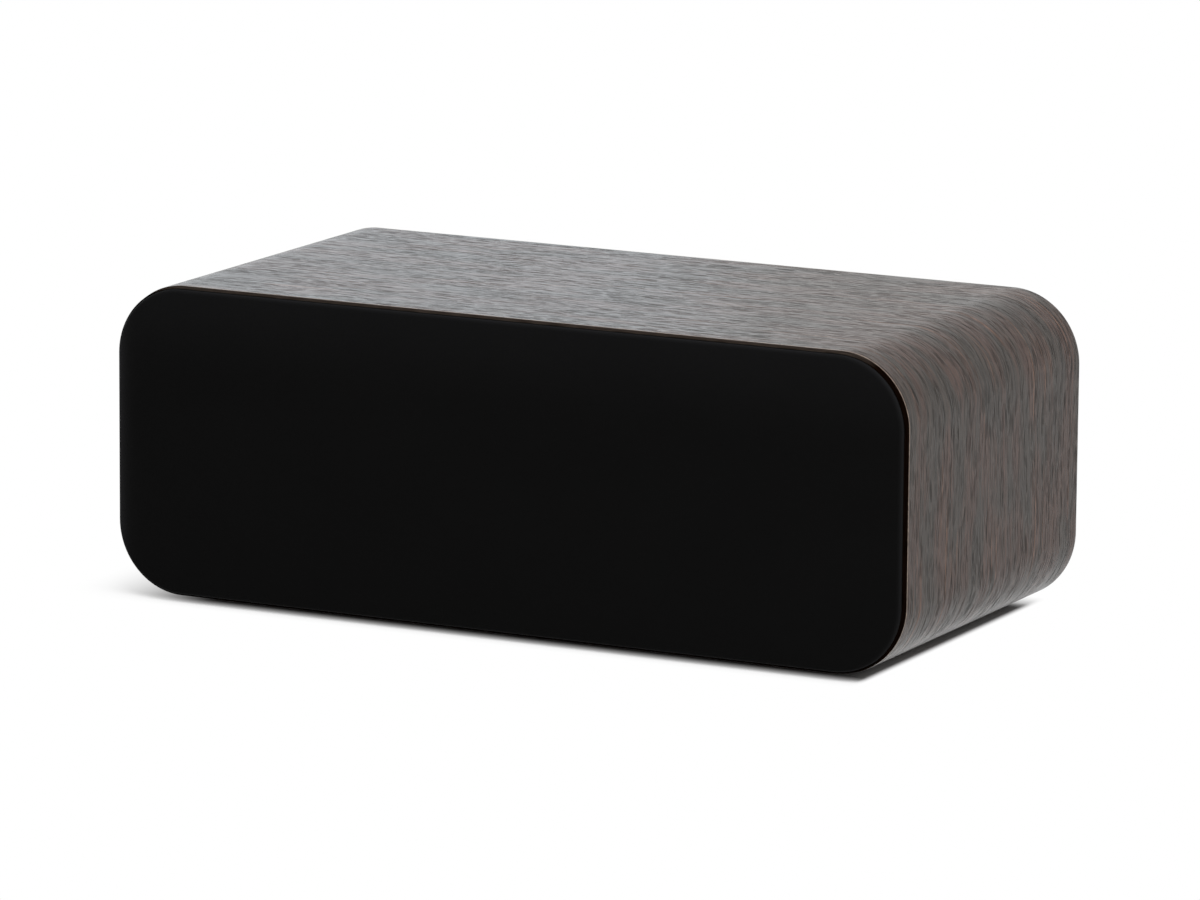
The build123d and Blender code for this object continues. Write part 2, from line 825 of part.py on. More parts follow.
def terminal_post(x):
    """Plated post: tail, collar and threaded stud with a plug socket and a wire hole."""
    plane = half_section(cup_floor_y, x)
    with BuildPart() as post:
        section = profile(
            plane,
            (0, -cup_floor - post_tail),
            (post_radius, -cup_floor - post_tail),
            (post_radius, 0),
            (post_collar_radius, 0),
            (post_collar_radius, post_collar_height),
            (post_radius, post_collar_height),
            (post_radius, knob_top),
            (socket_radius, knob_top),
            (socket_radius, knob_top - socket_depth),
            (0, knob_top - socket_depth),
        )
        revolve(section, axis=turning_axis(plane))
        with BuildSketch(Plane.XY.offset(mid_z)):
            with Locations((x, cup_floor_y + post_collar_height + wire_hole_height)):
                Circle(wire_hole_radius)
        extrude(amount=post_radius, both=True, mode=Mode.SUBTRACT)
    return post


def terminal_washer(x):
    """Clamping washer under the knob."""
    return turned(
        half_section(cup_floor_y, x),
        (post_radius + run_gap, post_collar_height),
        (washer_radius, post_collar_height),
        (washer_radius, washer_top),
        (post_radius + run_gap, washer_top),
    )


def terminal_knob(x):
    """Fluted knob that screws along the post."""
    plane = half_section(cup_floor_y, x)
    with BuildPart() as knob:
        section = profile(
            plane,
            (post_radius + run_gap, washer_top),
            (knob_radius, washer_top),
            (knob_radius, knob_top),
            (post_radius + run_gap, knob_top),
        )
        revolve(section, axis=turning_axis(plane))
        fillet(knob.faces().sort_by(Axis.Y)[-1].outer_wire().edges(), knob_round)
        with BuildSketch(rearward(cup_floor_y + knob_top, x)):
            with PolarLocations(knob_radius, knob_flutes):
                Circle(knob_flute_radius)
        extrude(amount=-knob_length, mode=Mode.SUBTRACT)
    return knob


# Lock nuts behind the cup's floor
with BuildPart() as terminal_locknuts:
    with BuildSketch(*[rearward(cup_floor_y - cup_floor, x) for x in post_places.values()]):
        RegularPolygon(nut_width / 2, 6, major_radius=False)
        Circle(post_radius + run_gap, mode=Mode.SUBTRACT)
    extrude(amount=-nut_height)

# Crossover board on stand-offs inside the rear board
board_x = -woofer_x
board_back_y = panel_front_y - standoff_height
board_front_y = board_back_y - board_thickness
with BuildPart() as crossover_board:
    with BuildSketch(upright(board_front_y, board_x)):
        Rectangle(board_width, board_height)
    extrude(amount=-board_thickness)
with BuildPart() as crossover_standoffs:
    with BuildSketch(upright(board_back_y, board_x)):
        with GridLocations(
            board_width - 2 * (standoff_radius + board_margin),
            board_height - 2 * (standoff_radius + board_margin), 2, 2,
        ):
            Circle(standoff_radius)
    extrude(amount=-standoff_height)

# Components, placed from the board's edges
board_left = board_x - board_width / 2 + board_margin
board_right = board_x + board_width / 2 - board_margin
board_top = mid_z + board_height / 2 - board_margin
board_low = mid_z - board_height / 2 + board_margin


def air_coil(x, z, radius, bore, height):
    """Copper coil standing on the board."""
    return turned(
        half_section(board_front_y, x, z), (bore, 0), (radius, 0), (radius, -height), (bore, -height)
    )


woofer_inductor = air_coil(
    board_left + woofer_coil_radius,
    board_top - woofer_coil_radius,
    woofer_coil_radius,
    woofer_coil_bore,
    woofer_coil_height,
)
tweeter_inductor = air_coil(
    board_right - tweeter_coil_radius,
    board_top - tweeter_coil_radius,
    tweeter_coil_radius,
    tweeter_coil_bore,
    tweeter_coil_height,
)
small_capacitor_z = board_low + small_capacitor_radius
capacitor_z = small_capacitor_z + small_capacitor_radius + component_gap + capacitor_radius
with BuildPart() as capacitors:
    for radius, length, z in (
        (small_capacitor_radius, small_capacitor_length, small_capacitor_z),
        (capacitor_radius, capacitor_length, capacitor_z),
    ):
        with BuildSketch(Plane(origin=(board_left, board_front_y - radius - glue_gap, z), z_dir=(1, 0, 0))):
            Circle(radius)
        extrude(amount=length)
with BuildPart() as resistors:
    for i in range(2):
        x = board_right - resistor_width / 2 - i * (resistor_width + component_gap)
        with BuildSketch(upright(board_front_y, x, board_low + resistor_length / 2)):
            Rectangle(resistor_width, resistor_length)
        extrude(amount=resistor_height)

# Every finished piece by name
pieces = {
    "cabinet_wrap": cabinet_wrap,
    "front_baffle": front_baffle,
    "rear_panel": rear_panel,
    "rubber_feet": rubber_feet,
    "port_tube": port_tube,
    "baffle_magnets": baffle_magnets,
    "woofer_screws": woofer_screws,
    "tweeter_faceplate": tweeter_faceplate,
    "tweeter_dome": tweeter_dome,
    "tweeter_voice_coil": tweeter_voice_coil,
    "tweeter_top_plate": tweeter_top_plate,
    "tweeter_magnet": tweeter_magnet,
    "tweeter_back_plate": tweeter_back_plate,
    "tweeter_screws": tweeter_screws,
    "grille_cloth": grille_cloth,
    "grille_frame": grille_frame,
    "grille_magnets": grille_magnets,
    "terminal_cup": terminal_cup,
    "terminal_screws": terminal_screws,
    "terminal_locknuts": terminal_locknuts,
    "crossover_board": crossover_board,
    "crossover_standoffs": crossover_standoffs,
    "woofer_inductor": woofer_inductor,
    "tweeter_inductor": tweeter_inductor,
    "capacitors": capacitors,
    "resistors": resistors,
}
woofer_makers = {
    "basket": woofer_basket,
    "trim_ring": woofer_trim_ring,
    "surround": woofer_surround,
    "cone": woofer_cone,
    "dust_cap": woofer_dust_cap,
    "voice_coil": woofer_voice_coil,
    "spider": woofer_spider,
    "top_plate": woofer_top_plate,
    "magnet": woofer_magnet,
    "back_plate": woofer_back_plate,
}
for side, s in sides.items():
    pieces[f"cabinet_brace_{side}"] = cabinet_brace(s * rib_x)
    pieces[f"damping_pad_{side}"] = damping_pad(s)
    for name, maker in woofer_makers.items():
        pieces[f"woofer_{side}_{name}"] = maker(s * woofer_x)
for colour, x in post_places.items():
    pieces[f"terminal_post_{colour}"] = terminal_post(x)
    pieces[f"terminal_washer_{colour}"] = terminal_washer(x)
    pieces[f"terminal_knob_{colour}"] = terminal_knob(x)

os.makedirs("parts", exist_ok=True)
for node, piece in pieces.items():
    piece.part.label = node
    export_step(piece.part, f"parts/{node}.step")
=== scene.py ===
# %% [markdown]
# A center loudspeaker is a low wooden box with a cloth front. The solids of the box, its drivers and its
# terminals arrive as a fixed frame, already at their real size in metres. This lesson dresses that frame:
# it gives every surface a finish, rebuilds the few shapes that need a finer mesh, and lights the result.

# %% Load the frame
from math import cos, pi, sin

import bmesh
import bpy
from mathutils import Matrix, Vector


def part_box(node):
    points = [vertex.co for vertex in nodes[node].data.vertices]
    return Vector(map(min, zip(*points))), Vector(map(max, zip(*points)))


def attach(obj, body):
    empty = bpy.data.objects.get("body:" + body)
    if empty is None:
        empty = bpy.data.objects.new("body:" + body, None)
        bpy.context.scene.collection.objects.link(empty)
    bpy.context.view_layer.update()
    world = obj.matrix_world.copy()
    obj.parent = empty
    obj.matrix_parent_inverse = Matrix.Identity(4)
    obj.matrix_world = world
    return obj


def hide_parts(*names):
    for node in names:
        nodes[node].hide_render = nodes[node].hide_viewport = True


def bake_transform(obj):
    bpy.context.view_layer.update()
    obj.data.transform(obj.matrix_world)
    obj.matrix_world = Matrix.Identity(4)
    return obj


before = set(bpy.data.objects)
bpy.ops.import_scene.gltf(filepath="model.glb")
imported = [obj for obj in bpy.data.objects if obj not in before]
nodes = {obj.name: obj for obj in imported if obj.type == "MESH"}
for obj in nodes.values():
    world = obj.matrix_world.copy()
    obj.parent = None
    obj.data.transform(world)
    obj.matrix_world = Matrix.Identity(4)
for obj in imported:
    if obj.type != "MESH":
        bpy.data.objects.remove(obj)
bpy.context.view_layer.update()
mm = 0.001

# %% [markdown]
# The photograph was taken with a long lens from the right, a little above the cabinet. Three angles, a lens
# and a place fix such a camera. The axes are worked out here one by one, because a camera in Blender looks
# along its own -Z with +Y up, and a small roll of the picture is easiest to see as a turn of those axes.

# %% Camera
camera_place = Vector((1.6946, -3.3188, 0.8124))
camera_yaw = -0.4716
camera_pitch = -0.1948
camera_roll = 0.0080
camera_lens = 230.12
camera_sensor = 36
camera_sight = 100

level_share = cos(camera_pitch)
ahead = Vector((sin(camera_yaw) * level_share, cos(camera_yaw) * level_share, sin(camera_pitch)))
level_right = Vector((cos(camera_yaw), -sin(camera_yaw), 0))
level_up = level_right.cross(ahead)
right = cos(camera_roll) * level_right + sin(camera_roll) * level_up
up = cos(camera_roll) * level_up - sin(camera_roll) * level_right

camera_data = bpy.data.cameras.new("camera")
camera_data.lens = camera_lens
camera_data.sensor_width = camera_sensor
camera_data.clip_end = camera_sight
camera = bpy.data.objects.new("camera", camera_data)
bpy.context.scene.collection.objects.link(camera)
camera_axes = Matrix((right, up, -ahead)).transposed().to_4x4()
camera.matrix_world = Matrix.Translation(camera_place) @ camera_axes
bpy.context.scene.camera = camera

# %% [markdown]
# A finish is a small network of shader nodes. Wired by hand, even a simple sum is many lines, so the first
# class wraps a socket and lets Python's own signs add the Math nodes. One method of the second makes every
# other node: it takes the node's type, its settings and what goes into its sockets, and gives back the
# socket that comes out. Geometry Nodes are wired in the same way, so both kinds of network share it.

# %% Networks as Python expressions
class Number:
    """A socket that joins in Python sums; each sum adds one Math node."""

    def __init__(self, network, socket):
        self.network = network
        self.socket = socket

    def math(self, operation, first, second):
        return self.network.node("ShaderNodeMath", {"operation": operation}, {0: first, 1: second})

    def __add__(self, other):
        return self.math("ADD", self, other)

    def __sub__(self, other):
        return self.math("SUBTRACT", self, other)

    def __rsub__(self, other):
        return self.math("SUBTRACT", other, self)

    def __mul__(self, other):
        return self.math("MULTIPLY", self, other)

    __radd__ = __add__
    __rmul__ = __mul__


class Network:
    """A node tree that is built node by node."""

    def node(self, kind, settings=None, inputs=None, out=0):
        made = self.tree.nodes.new(kind)
        for key, value in (settings or {}).items():
            setattr(made, key, value)
        for key, value in (inputs or {}).items():
            if isinstance(value, (Number, list)):
                for each in value if isinstance(value, list) else [value]:
                    self.tree.links.new(each.socket, made.inputs[key])
            else:
                made.inputs[key].default_value = value
        return Number(self, made.outputs[out])

    def spread(self, value, low, high, to_low=0.0, to_high=1.0):
        """value from low to high, spread smoothly from to_low to to_high."""
        inputs = {"Value": value, "From Min": low, "From Max": high, "To Min": to_low, "To Max": to_high}
        return self.node("ShaderNodeMapRange", {"interpolation_type": "SMOOTHSTEP"}, inputs)

    def looked_at(self):
        """1 where the camera looks, straight, in a mirror or through glass, and 0 for light alone."""
        straight, mirrored, through = (
            self.node("ShaderNodeLightPath", out=f"Is {kind} Ray")
            for kind in ("Camera", "Glossy", "Transmission")
        )
        return straight.math("MAXIMUM", straight.math("MAXIMUM", straight, mirrored), through)


print("networks are written as sums of sockets")

# %% [markdown]
# A material is such a network too, with a few steps that most finishes share: a colour between two others,
# noise and cells of a given size, a bump, and the Principled shader at the end. Sizes are in metres on the
# object, so a grain keeps its scale on every piece.

# %% Finishes
class Finish(Network):
    """Network of a material."""

    def __init__(self, name):
        self.material = bpy.data.materials.new(name)
        self.material.use_nodes = True
        self.tree = self.material.node_tree
        self.tree.nodes.clear()
        self.output = self.tree.nodes.new("ShaderNodeOutputMaterial")

    def mix(self, factor, first, second):
        """Colour between first and second."""
        first, second = (c if isinstance(c, Number) else (*c, 1) for c in (first, second))
        return self.node("ShaderNodeMix", {"data_type": "RGBA"}, {0: factor, 6: first, 7: second}, out=2)

    def noise(self, place, size, detail=3.0, roughness=0.55):
        """Cloudy values whose spots are about size long in each direction of place."""
        scaled = self.node("ShaderNodeVectorMath", {"operation": "DIVIDE"}, {0: place, 1: size})
        inputs = {"Vector": scaled, "Scale": 1.0, "Detail": detail, "Roughness": roughness}
        return self.node("ShaderNodeTexNoise", {"normalize": True}, inputs, out="Fac")

    def cells(self, place, size):
        """Distance from the nearest of many scattered points, about size apart."""
        scaled = self.node("ShaderNodeVectorMath", {"operation": "DIVIDE"}, {0: place, 1: size})
        inputs = {"Vector": scaled, "Scale": 1.0}
        return self.node("ShaderNodeTexVoronoi", {"voronoi_dimensions": "2D"}, inputs)

    def bump(self, height, strength, distance):
        inputs = {"Height": height, "Strength": strength, "Distance": distance}
        return self.node("ShaderNodeBump", None, inputs)

    def principled(self, **sockets):
        """Principled shader; a name's underscores stand for the spaces in the socket's name."""
        inputs = {}
        for key, value in sockets.items():
            colour = isinstance(value, tuple) and len(value) == 3
            inputs[key.replace("_", " ")] = (*value, 1) if colour else value
        return self.node("ShaderNodeBsdfPrincipled", None, inputs)

    def show(self, shader):
        """Ends the material with shader."""
        self.tree.links.new(shader.socket, self.output.inputs["Surface"])
        return self.material

    def surface(self, **sockets):
        return self.show(self.principled(**sockets))

    def object_place(self):
        return self.node("ShaderNodeTexCoord", out="Object")

    def own_uv(self, name):
        return self.node("ShaderNodeUVMap", {"uv_map": name})


print("finishes are measured in metres, and a millimetre is", mm)

# %% [markdown]
# A studio picture of a dark box on white needs little: a pale floor, a bright surround that the satin
# lacquer can mirror, one large soft lamp from the upper right that shapes the edges, and a weak cool lamp
# behind that gives the top its sheen. The surround is plain white where the camera or a reflection looks at
# it, and dimmer as a light. The paper shows its shadow only near the box and fades to white all round.

# %% Floor, surround and lamps
def lamp(name, place, target, size, power):
    """Square soft lamp at place that shines at target."""
    light = bpy.data.lights.new(name, "AREA")
    light.shape = "SQUARE"
    light.size = size
    light.energy = power
    made = bpy.data.objects.new(name, light)
    bpy.context.scene.collection.objects.link(made)
    made.location = place
    made.rotation_euler = (Vector(target) - Vector(place)).to_track_quat("-Z", "Y").to_euler()
    return made


bpy.context.scene.view_settings.view_transform = "Standard"
world = bpy.data.worlds.new("surround")
bpy.context.scene.world = world
world.use_nodes = True
sky = Network()
sky.tree = world.node_tree
direction = sky.node("ShaderNodeTexCoord", out="Generated")
height = sky.node("ShaderNodeSeparateXYZ", None, {0: direction}, out="Z")
looked_at = sky.looked_at()
level_light, high_light, high = 0.15, 0.52, 0.7
strength = looked_at + (1 - looked_at) * sky.spread(height, 0.0, high, level_light, high_light)
sky.tree.links.new(strength.socket, sky.tree.nodes["Background"].inputs["Strength"])
sky.tree.nodes["Background"].inputs["Color"].default_value = (1, 1, 1, 1)

floor_half = 12.0
floor_z = -0.2 * mm
floor_mesh = bpy.data.meshes.new("floor")
corners = [(x * floor_half, y * floor_half, floor_z) for x, y in ((-1, -1), (1, -1), (1, 1), (-1, 1))]
floor_mesh.from_pydata(corners, [], [(0, 1, 2, 3)])
floor = bpy.data.objects.new("floor", floor_mesh)
bpy.context.scene.collection.objects.link(floor)


def paper_finish():
    paper = Finish("white_paper")
    place = paper.object_place()
    x = paper.node("ShaderNodeSeparateXYZ", None, {0: place}, out="X")
    y = paper.node("ShaderNodeSeparateXYZ", None, {0: place}, out="Y")
    left, right = (x * -1, 165 * mm, 85 * mm), (x, 188 * mm, 6 * mm)
    front, rear = (y * -1, 87 * mm, 24 * mm), (y, 91 * mm, 30 * mm)
    near = 1
    for way, shadow, fade in (left, right, front, rear):
        near = near * paper.spread(way, shadow + fade, shadow)
    lit = paper.node("ShaderNodeBsdfDiffuse", None, {"Color": (0.93, 0.93, 0.93, 1)})
    white = paper.node("ShaderNodeEmission", None, {"Color": (1, 1, 1, 1), "Strength": 1.0})
    faded = (1 - near) * paper.looked_at()
    mixed = paper.node("ShaderNodeMixShader", None, {0: faded, 1: lit, 2: white})
    below = paper.node("ShaderNodeNewGeometry", out="Backfacing")
    clear = paper.node("ShaderNodeBsdfTransparent")
    return paper.show(paper.node("ShaderNodeMixShader", None, {0: below, 1: mixed, 2: clear}))


floor_mesh.materials.append(paper_finish())
key = lamp("key", place=(1.5, -1.6, 2.6), target=(0, 0, 0.05), size=1.8, power=90)
sheen = lamp("sheen", place=(-1.9, 2.7, 0.80), target=(0, 0, 0.15), size=1.2, power=2.2)
sheen.data.color = (0.72, 0.86, 1.0)
print("lit by the lamps", key.name, "and", sheen.name, "and the surround")

# %% [markdown]
# The cabinet is one veneered board bent round into a rounded tube. Its skin follows a rule: the same edge
# profile, swept round a rounded rectangle. The sweep is done by hand rather than with a curve, because each
# corner of a face then gets its own UV: u counts the way round the tube and v the way to the rear, both in
# metres, so that the grain can bend round the corners as real veneer does.

# %% Helpers for swept and turned shapes
def rounded_outline(half_width, half_height, radius, steps=28, support=2.0 * mm):
    """Points (x, z, outward x, outward z, way round) of a rounded rectangle, from the bottom middle on."""
    flat_x = half_width - radius
    flat_z = half_height - radius
    points = [(0.0, -half_height, 0.0, -1.0)]
    for sx, sz, start in ((1, -1, -90), (1, 1, 0), (-1, 1, 90), (-1, -1, 180)):
        if start == 90:
            points.append((0.0, half_height, 0.0, 1.0))
        centre = (sx * flat_x, sz * flat_z)
        before = (cos(start * pi / 180), sin(start * pi / 180))
        after = (-before[1], before[0])
        first = (centre[0] + radius * before[0], centre[1] + radius * before[1])
        last = (centre[0] + radius * after[0], centre[1] + radius * after[1])
        points.append((first[0] - support * after[0], first[1] - support * after[1], *before))
        for step in range(steps + 1):
            turn = (start + 90 * step / steps) * pi / 180
            out_x, out_z = cos(turn), sin(turn)
            points.append((centre[0] + radius * out_x, centre[1] + radius * out_z, out_x, out_z))
        points.append((last[0] - support * before[0], last[1] - support * before[1], *after))
    way = 0.0
    outline = []
    for i, point in enumerate(points):
        if i:
            way += (Vector(point[:2]) - Vector(points[i - 1][:2])).length
        outline.append((*point, way))
    return outline


def new_piece(name, vertices, faces, finishes, smooth_below=40):
    """Mesh object in the scene with finishes, shaded smooth up to an angle in degrees."""
    mesh = bpy.data.meshes.new(name)
    mesh.from_pydata(vertices, [], faces)
    for finish in finishes:
        mesh.materials.append(finish)
    mesh.shade_smooth()
    mesh.set_sharp_from_angle(angle=smooth_below * pi / 180)
    piece = bpy.data.objects.new(name, mesh)
    bpy.context.scene.collection.objects.link(piece)
    return piece


def turn_outwards(piece):
    """Makes the faces of a closed mesh point outwards."""
    shape = bmesh.new()
    shape.from_mesh(piece.data)
    bmesh.ops.recalc_face_normals(shape, faces=shape.faces)
    shape.to_mesh(piece.data)
    shape.free()


def lay_uv(piece, name, corners):
    """UV map from one (u, v) for each corner of each face, in order."""
    layer = piece.data.uv_layers.new(name=name)
    for corner, place in enumerate(corners):
        layer.uv[corner].vector = place


shell_low, shell_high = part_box("cabinet_wrap")
half_width = (shell_high.x - shell_low.x) / 2
half_height = (shell_high.z - shell_low.z) / 2
middle_z = (shell_high.z + shell_low.z) / 2
corner_radius = 36 * mm
cabinet_outline = rounded_outline(half_width, half_height, corner_radius)
print("outline of the cabinet:", len(cabinet_outline), "points")

# %% [markdown]
# The veneer is a dark, open-grained wood under satin lacquer. Close up it is fine pores in short dark
# strokes, with paler and redder fibres between them and slow changes from one band to the next. Noise that
# is stretched along the grain gives the fibres and bands, and scattered cells, stretched in the same way,
# give the pores. A pore is a dull hollow in the lacquer, so the two are mixed as shaders.

# %% Veneer
def veneer_finish():
    wood = Finish("veneer")
    grain = wood.own_uv("grain")
    drift = wood.noise(grain, (90 * mm, 35 * mm, 1), detail=2)
    ripple = wood.noise(grain, (14 * mm, 8 * mm, 1), detail=2)
    waver = (drift - 0.5) * (9 * mm) + (ripple - 0.5) * (0.9 * mm)
    waver = wood.node("ShaderNodeCombineXYZ", None, {"Y": waver})
    along = wood.node("ShaderNodeVectorMath", {"operation": "ADD"}, {0: grain, 1: waver})
    bands = wood.noise(along, (70 * mm, 16 * mm, 1), detail=2)
    fibres = wood.noise(along, (70 * mm, 1.3 * mm, 1), detail=4, roughness=0.72)
    threads = wood.noise(along, (150 * mm, 1.8 * mm, 1), detail=2)
    bundles = wood.noise(along, (50 * mm, 3.0 * mm, 1), detail=2, roughness=0.6)
    long_pores = wood.spread(wood.cells(along, (16 * mm, 1.1 * mm, 1)), 0.40, 0.22)
    short_pores = wood.spread(wood.cells(along, (8 * mm, 0.75 * mm, 1)), 0.42, 0.24)
    pores = long_pores.math("MAXIMUM", long_pores, short_pores * 0.7)
    pores = pores * wood.spread(bundles, 0.64, 0.38, 0.25, 1.0)
    red = wood.mix(wood.spread(fibres, 0.34, 0.66), (0.030, 0.0155, 0.0105), (0.076, 0.038, 0.0265))
    grey = wood.mix(wood.spread(fibres, 0.34, 0.66), (0.018, 0.0145, 0.0110), (0.048, 0.035, 0.0265))
    colour = wood.mix(wood.spread(bands, 0.40, 0.60), grey, red)
    warm = wood.spread(threads, 0.60, 0.68) * wood.spread(bands, 0.40, 0.56)
    colour = wood.mix(warm * 0.8, colour, (0.17, 0.080, 0.042))
    relief = wood.bump(fibres * 0.7 - pores, 0.5, 0.10 * mm)
    lacquer = wood.principled(Base_Color=colour, Roughness=0.17 + fibres * 0.12, IOR=1.30, Normal=relief)
    shade = wood.mix(fibres, (0.009, 0.0080, 0.0070), (0.020, 0.0170, 0.0145))
    hollow = wood.principled(Base_Color=shade, Roughness=0.8, Specular_IOR_Level=0.1)
    return wood.show(wood.node("ShaderNodeMixShader", None, {0: pores * 0.82, 1: lacquer, 2: hollow}))


veneer = veneer_finish()
print("veneer:", len(veneer.node_tree.nodes), "nodes")

# %% [markdown]
# The edges of the board are finished apart. The veneer's cut edge is bare and pale, with painted shade that
# makes it near black along the bottom of the box. The bevel round the front is stained, with painted light
# that makes it paler along the top. The rear end is sealed, and the inside is raw board.

# %% Edges and inside of the board
def veneer_edge_finish():
    edge = Finish("veneer_edge")
    grain = edge.own_uv("grain")
    fibres = edge.noise(grain, (3 * mm, 1 * mm, 1), detail=3)
    height = edge.node("ShaderNodeSeparateXYZ", None, {0: edge.object_place()}, out="Z")
    colour = edge.mix(edge.spread(fibres, 0.35, 0.65), (0.105, 0.068, 0.046), (0.215, 0.155, 0.113))
    # painted shade: the pale edge turns near black along the bottom of the box, where it lies in shade
    colour = edge.mix(edge.spread(height, 5 * mm, 9 * mm), (0.0030, 0.0015, 0.0009), colour)
    return edge.surface(Base_Color=colour, Roughness=0.22 + fibres * 0.15)


def stained_edge_finish():
    edge = Finish("stained_edge")
    grain = edge.own_uv("grain")
    fibres = edge.noise(grain, (9 * mm, 0.5 * mm, 1), detail=3)
    height = edge.node("ShaderNodeSeparateXYZ", None, {0: edge.object_place()}, out="Z")
    # painted light: the stain is paler along the top of the bevel, as if lit from above
    top_painted_light = edge.mix(edge.spread(fibres, 0.35, 0.65), (0.0166, 0.0122, 0.0098), (0.0400, 0.0310, 0.0255))
    colour = edge.mix(edge.spread(fibres, 0.35, 0.65), (0.0016, 0.0007, 0.0004), (0.0050, 0.0022, 0.0012))
    colour = edge.mix(edge.spread(height, 152.5 * mm, 157.5 * mm), colour, top_painted_light)
    return edge.surface(Base_Color=colour, Roughness=0.5 + fibres * 0.15, Specular_IOR_Level=0.0)


def sealed_edge_finish():
    edge = Finish("sealed_edge")
    fibres = edge.noise(edge.own_uv("grain"), (9 * mm, 0.5 * mm, 1), detail=3)
    colour = edge.mix(edge.spread(fibres, 0.35, 0.65), (0.0060, 0.0036, 0.0026), (0.0150, 0.0095, 0.0068))
    return edge.surface(Base_Color=colour, Roughness=0.42 + fibres * 0.15, Specular_IOR_Level=0.3)


def raw_board_finish():
    board = Finish("raw_board")
    place = board.object_place()
    chips = board.noise(place, (1.1 * mm, 1.1 * mm, 1.1 * mm), detail=4, roughness=0.7)
    colour = board.mix(board.spread(chips, 0.3, 0.7), (0.30, 0.19, 0.10), (0.48, 0.34, 0.20))
    relief = board.bump(chips, 0.2, 0.2 * mm)
    return board.surface(Base_Color=colour, Roughness=0.75 + chips * 0.2, Normal=relief)


veneer_edge = veneer_edge_finish()
stained_edge = stained_edge_finish()
sealed_edge = sealed_edge_finish()
raw_board = raw_board_finish()
print("edges:", veneer_edge.name, stained_edge.name, sealed_edge.name, raw_board.name)

# %% [markdown]
# Now the sweep itself. The profile lists, from the outside round to the inside, how far each point lies
# inside the outline and how far back it is. A few points stand close to each edge so that smooth shading
# stays flat on the flats. At the front a thin lip surrounds the recess for the grille. Its outside is
# bevelled and stained, and the bevel cuts through the veneer, whose bare edge shows as a thin pale line.

# %% Cabinet shell
front_y, rear_y = shell_low.y, shell_high.y
wall = 15 * mm
lip = 1.0 * mm
bevel, bevel_depth = 0.7 * mm, 4.0 * mm
baffle_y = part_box("front_baffle")[0].y


def cabinet_shell():
    edge = 0.5 * mm
    soft = 0.25 * mm
    cut_y = front_y + bevel_depth
    slope = bevel_depth / bevel * mm
    skin, cut, stain, raw, sealed = range(5)
    profile = [
        (0, rear_y - edge, cut), (0, rear_y - 2 * mm, skin), (0, cut_y + 1.5 * mm, skin),
        (0, cut_y + 0.2 * mm, skin), (0, cut_y, skin), (0.1 * mm, cut_y - 0.1 * slope, cut),
        (0.15 * mm, cut_y - 0.15 * slope, stain), (bevel, front_y, stain), (lip, front_y, stain),
        (lip, baffle_y, stain), (wall, baffle_y, sealed), (wall, baffle_y + 8 * mm, sealed),
        (wall, rear_y - 8 * mm, raw), (wall, rear_y - soft, sealed),
        (wall - soft, rear_y, sealed), (edge, rear_y, sealed), (0.15 * mm, rear_y - 0.15 * mm, cut),
    ]
    outline = cabinet_outline
    columns = len(outline)
    rows = len(profile)
    vertices = [
        (x - nx * inset, y, middle_z + z - nz * inset)
        for x, z, nx, nz, way in outline for inset, y, part in profile
    ]
    total = outline[-1][4] + outline[0][0] - outline[-1][0]
    faces, places, parts = [], [], []
    for i in range(columns):
        j = (i + 1) % columns
        ways = (outline[i][4], outline[j][4] if j else total)
        for a in range(rows):
            b = (a + 1) % rows
            faces.append((i * rows + a, j * rows + a, j * rows + b, i * rows + b))
            for way, row in ((ways[0], a), (ways[1], a), (ways[1], b), (ways[0], b)):
                places.append((way, profile[row][1] + profile[row][0]))
            parts.append(profile[b][2])
    finishes = (veneer, veneer_edge, stained_edge, raw_board, sealed_edge)
    shell = new_piece("cabinet_shell", vertices, faces, finishes)
    lay_uv(shell, "grain", places)
    shell.data.polygons.foreach_set("material_index", parts)
    return shell


shell = cabinet_shell()
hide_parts("cabinet_wrap")
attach(shell, "cabinet")
print("cabinet shell:", len(shell.data.polygons), "faces")
